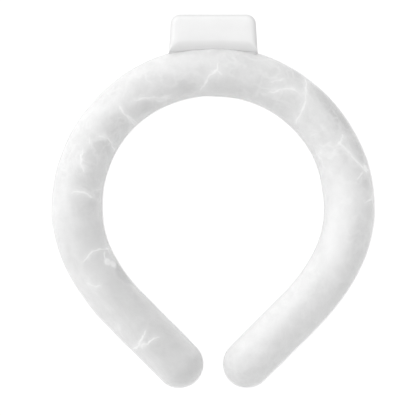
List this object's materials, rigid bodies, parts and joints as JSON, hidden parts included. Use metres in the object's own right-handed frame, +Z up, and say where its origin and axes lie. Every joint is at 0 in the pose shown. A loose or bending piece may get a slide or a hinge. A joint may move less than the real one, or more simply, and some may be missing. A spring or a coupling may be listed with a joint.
{
  "type": "cooling neck wrap",
  "caption": "Open ring of translucent plastic tube filled with frozen cooling gel, with a moulded cap over its filling port at the nape; springs onto the neck from behind.",
  "frame": {"origin": "middle of the part's outline seen from above, at the height of the surface it lies on", "axes": "+Y towards the nape and the cap, -Y out of the open front, +Z up from the surface it lies on, +X to the right seen from above with the cap at the top"},
  "size_m": [0.1616, 0.1868, 0.0257],
  "materials": {
    "skin": "satin, translucent, flexible plastic film tube",
    "gel_core": "white frozen gel, marbled with paler frost veins",
    "port_cap": "smooth satin white moulded plastic"
  },
  "bodies": {
    "root": {"skin": "skin", "gel_core": "gel_core", "port_cap": "port_cap"}
  },
  "joints": []
}
